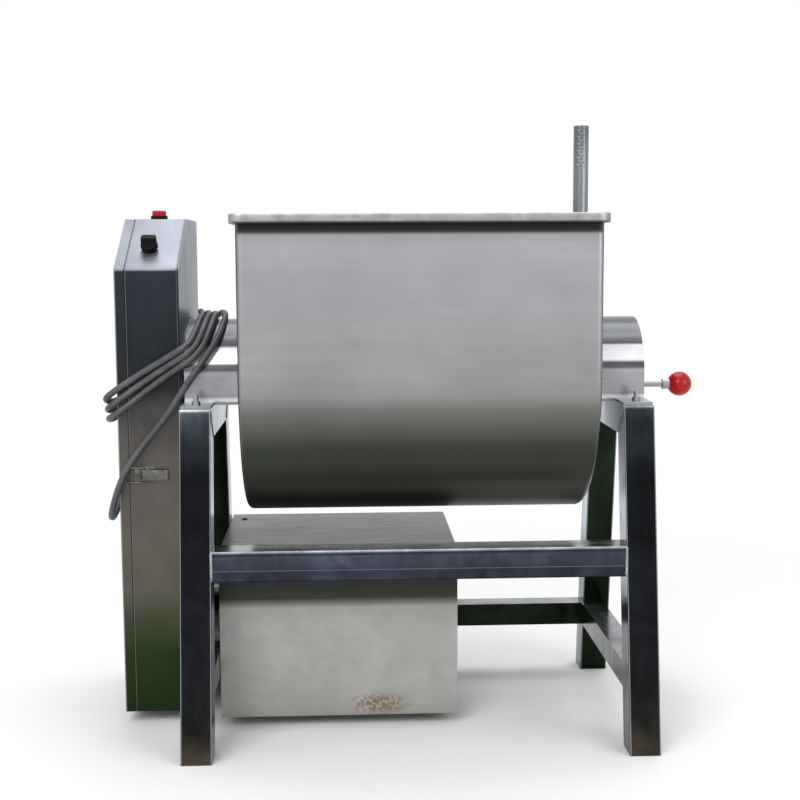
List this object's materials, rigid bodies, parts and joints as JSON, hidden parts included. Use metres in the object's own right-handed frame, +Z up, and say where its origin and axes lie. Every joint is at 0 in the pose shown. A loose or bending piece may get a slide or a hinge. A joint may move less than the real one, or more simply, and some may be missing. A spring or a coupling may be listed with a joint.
{
  "type": "horizontal powder mixer",
  "caption": "Tilting U-shaped trough mixer with a double ribbon agitator on a square-tube stand, with side drive cabinet, motor box, lock plunger and tilt lever.",
  "frame": {"origin": "on the floor, under the middle of the whole machine", "axes": "+X along the trough towards the tilt lever, +Y to the back, +Z up"},
  "size_m": [1.2085, 0.6895, 1.249],
  "materials": {
    "frame_tube": "polished square tube, darkened",
    "trough_sheet": "brushed stainless sheet",
    "trough_rim": "brushed stainless edge",
    "cabinet_sheet": "brushed stainless sheet, dull",
    "cover_sheet": "polished stainless sheet",
    "box_sheet": "dull stainless sheet with stains",
    "bare_steel": "machined steel",
    "grip_steel": "polished tube with a dimpled grip",
    "cast": "painted casting",
    "motor_paint": "machine enamel",
    "bronze": "bronze bush",
    "seal_rubber": "black seal rubber",
    "chain_steel": "oiled chain steel",
    "latch_steel": "plated latch",
    "black_plastic": "black moulding",
    "red_cap": "red moulding",
    "red_ball": "red ball knob",
    "cable_rubber": "grey cable jacket"
  },
  "bodies": {
    "frame": {"bearing_bolts": "bare_steel", "bearing_bushes": "bronze", "bearing_cover_left": "cover_sheet", "bearing_cover_right": "cover_sheet", "bearing_housing_left": "cast", "bearing_housing_right": "cast", "bearing_plate_left": "bare_steel", "bearing_plate_right": "bare_steel", "cabinet_side_cover": "cabinet_sheet", "cabinet_spacers": "bare_steel", "cable_coil": "cable_rubber", "cable_gland": "black_plastic", "cable_lead": "cable_rubber", "cable_plug": "black_plastic", "cable_tail": "cable_rubber", "drive_cabinet": "cabinet_sheet", "drive_chain": "chain_steel", "drive_motor": "motor_paint", "front_beam": "frame_tube", "gearbox": "motor_paint", "latch_base_front": "latch_steel", "latch_base_rear": "latch_steel", "latch_keeper_front": "latch_steel", "latch_keeper_rear": "latch_steel", "leg_front_left": "frame_tube", "leg_front_right": "frame_tube", "leg_rear_left": "frame_tube", "leg_rear_right": "frame_tube", "motor_base_plate": "bare_steel", "motor_box": "box_sheet", "rear_beam": "frame_tube", "selector_body": "black_plastic", "side_stretcher_left": "frame_tube", "side_stretcher_right": "frame_tube", "stop_button_body": "black_plastic", "top_rail_left": "frame_tube", "top_rail_right": "frame_tube"},
    "trough": {"trough_shell": "trough_sheet", "trough_rim": "trough_rim", "trunnion_left": "bare_steel", "trunnion_right": "bare_steel", "lever_socket": "bare_steel", "tilt_lever": "grip_steel", "shaft_bearings": "chain_steel", "shaft_seals": "seal_rubber"},
    "agitator": {"agitator_shaft": "bare_steel", "outer_ribbons": "bare_steel", "inner_ribbons": "bare_steel", "ribbon_spokes": "bare_steel", "driven_sprocket": "chain_steel"},
    "motor_output": {"output_shaft": "bare_steel", "drive_sprocket": "chain_steel"},
    "plunger": {"lock_plunger": "bare_steel", "plunger_ball": "red_ball"},
    "selector": {"selector_knob": "black_plastic"},
    "stop_button": {"stop_button_cap": "red_cap"},
    "front_latch_lever": {"latch_lever_front": "latch_steel"},
    "front_latch_bail": {"latch_bail_front": "latch_steel"},
    "rear_latch_lever": {"latch_lever_rear": "latch_steel"},
    "rear_latch_bail": {"latch_bail_rear": "latch_steel"}
  },
  "joints": [
    {"name": "trough_tilt", "type": "hinge", "parent": "frame", "child": "trough", "pos_m": [0.015, 0, 0.735], "axis": [1, 0, 0], "range_deg": [0, 90]},
    {"name": "agitator_spin", "type": "hinge", "parent": "frame", "child": "agitator", "pos_m": [0.015, 0, 0.735], "axis": [1, 0, 0], "continuous": true, "deforming": ["drive_chain"]},
    {"name": "motor_output_spin", "type": "hinge", "parent": "frame", "child": "motor_output", "pos_m": [-0.515, 0.09, 0.24794], "axis": [1, 0, 0], "continuous": true},
    {"name": "plunger_slide", "type": "slide", "parent": "frame", "child": "plunger", "axis": [1, 0, 0], "range_m": [-0.007, 0.01]},
    {"name": "selector_turn", "type": "hinge", "parent": "frame", "child": "selector", "pos_m": [-0.524, -0.00108, 0.9808], "axis": [0, -0.54, 0.8417], "range_deg": [-45, 45]},
    {"name": "stop_button_press", "type": "slide", "parent": "frame", "child": "stop_button", "axis": [0, 0, -1], "range_m": [0, 0.004], "stiffness_N_per_m": 900},
    {"name": "front_latch_open", "type": "hinge", "parent": "frame", "child": "front_latch_lever", "pos_m": [-0.545, -0.065, 0.524], "axis": [0, 0, -1], "range_deg": [0, 100]},
    {"name": "front_bail_swing", "type": "hinge", "parent": "front_latch_lever", "child": "front_latch_bail", "pos_m": [-0.538, -0.065, 0.524], "axis": [0, 0, -1], "range_deg": [-110, 0]},
    {"name": "rear_latch_open", "type": "hinge", "parent": "frame", "child": "rear_latch_lever", "pos_m": [-0.545, 0.293, 0.524], "axis": [0, 0, 1], "range_deg": [0, 100]},
    {"name": "rear_bail_swing", "type": "hinge", "parent": "rear_latch_lever", "child": "rear_latch_bail", "pos_m": [-0.538, 0.293, 0.524], "axis": [0, 0, 1], "range_deg": [-110, 0]}
  ],
  "couplings": [
    {"joint": "motor_output_spin", "follows": "agitator_spin", "ratio": 1},
    {"joint": "front_bail_swing", "follows": "front_latch_open", "ratio": -1.1},
    {"joint": "rear_bail_swing", "follows": "rear_latch_open", "ratio": -1.1}
  ]
}
